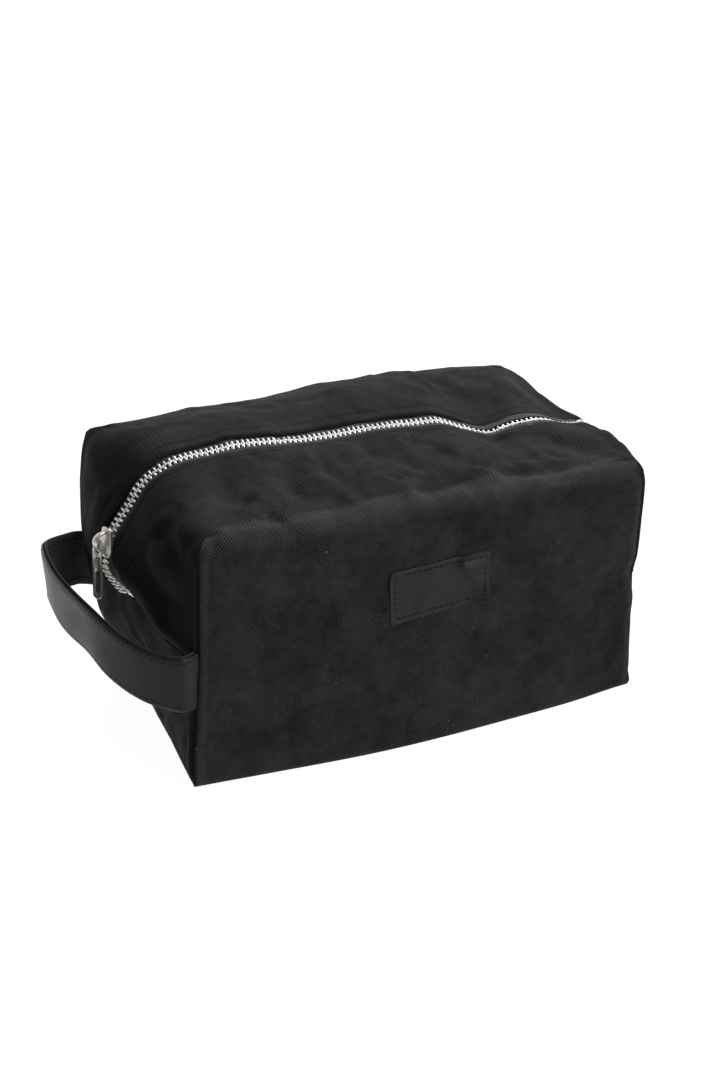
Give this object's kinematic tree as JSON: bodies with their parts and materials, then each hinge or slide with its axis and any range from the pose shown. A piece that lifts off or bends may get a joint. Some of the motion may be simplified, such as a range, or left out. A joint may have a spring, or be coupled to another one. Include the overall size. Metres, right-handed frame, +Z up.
{
  "type": "shaving kit bag",
  "caption": "Boxed canvas wash bag with a zip over the top and down both ends, opening flaps, a sliding zip pull and a leather end strap.",
  "frame": {"origin": "centre of the underside of the bag, between its four box corners", "axes": "+X runs along the zip, away from the strap end; -Y is the front, with the label; +Z is up, out of the mouth"},
  "size_m": [0.315, 0.164, 0.1443],
  "materials": {
    "canvas": "waxed plain-weave cotton canvas, black, matt with a faint sheen and pale creases",
    "lining": "plain woven polyester lining, charcoal",
    "zip_tape": "woven zip tape, black",
    "zip_metal": "polished nickel teeth and stops",
    "slider_metal": "nickel-plated zinc, polished, lightly rubbed",
    "strap_leather": "smooth black leather, burnished edges, stitched",
    "strap_backing": "rough flesh side of black leather",
    "label_leather": "black leather patch, fine grain, plain, stitched round its edge"
  },
  "bodies": {
    "bag": {"front_panel": "canvas", "back_panel": "canvas", "bottom_panel": "canvas", "left_end_lower": "canvas", "right_end_lower": "canvas", "left_end_front": "canvas", "left_end_back": "canvas", "right_end_front": "canvas", "right_end_back": "canvas", "corner_binding_front_left": "canvas", "corner_binding_back_left": "canvas", "corner_binding_front_right": "canvas", "corner_binding_back_right": "canvas", "end_binding_left": "canvas", "end_binding_right": "canvas", "front_lining": "lining", "back_lining": "lining", "bottom_lining": "lining", "left_end_lower_lining": "lining", "right_end_lower_lining": "lining", "left_end_front_lining": "lining", "left_end_back_lining": "lining", "right_end_front_lining": "lining", "right_end_back_lining": "lining", "zip_tape_left_front": "zip_tape", "zip_tape_left_back": "zip_tape", "zip_tape_right_front": "zip_tape", "zip_tape_right_back": "zip_tape", "zip_teeth_left_front": "zip_metal", "zip_teeth_left_back": "zip_metal", "zip_teeth_right_front": "zip_metal", "zip_teeth_right_back": "zip_metal", "zip_top_stop_front": "zip_metal", "zip_top_stop_back": "zip_metal", "zip_bottom_stop": "zip_metal", "label_patch": "label_leather"},
    "front_flap": {"front_flap": "canvas", "front_flap_lining": "lining", "zip_tape_top_front": "zip_tape", "zip_teeth_top_front": "zip_metal"},
    "back_flap": {"back_flap": "canvas", "back_flap_lining": "lining", "zip_tape_top_back": "zip_tape", "zip_teeth_top_back": "zip_metal"},
    "slider": {"slider_body": "slider_metal"},
    "pull_tab": {"pull_tab": "slider_metal"},
    "strap": {"strap_leather": "strap_leather", "strap_backing": "strap_backing"}
  },
  "joints": [
    {"name": "front_flap_hinge", "type": "hinge", "parent": "bag", "child": "front_flap", "pos_m": [0, -0.07, 0.132], "axis": [1, 0, 0], "range_deg": [0, 50]},
    {"name": "back_flap_hinge", "type": "hinge", "parent": "bag", "child": "back_flap", "pos_m": [0, 0.07, 0.132], "axis": [-1, 0, 0], "range_deg": [0, 50]},
    {"name": "slider_run", "type": "hinge", "parent": "bag", "child": "slider", "pos_m": [-0.1013, 0, 0.102], "axis": [0, 1, 0], "range_deg": [-30, 80]},
    {"name": "pull_tab_swing", "type": "hinge", "parent": "slider", "child": "pull_tab", "pos_m": [-0.14771, 0, 0.10803], "axis": [0, 1, 0], "range_deg": [0, 22]},
    {"name": "strap_tilt", "type": "hinge", "parent": "bag", "child": "strap", "pos_m": [-0.125, 0, 0.052], "axis": [0, 1, 0], "range_deg": [-30, 0], "stiffness_Nm_per_rad": 0.06, "springref_deg": 17.19}
  ]
}
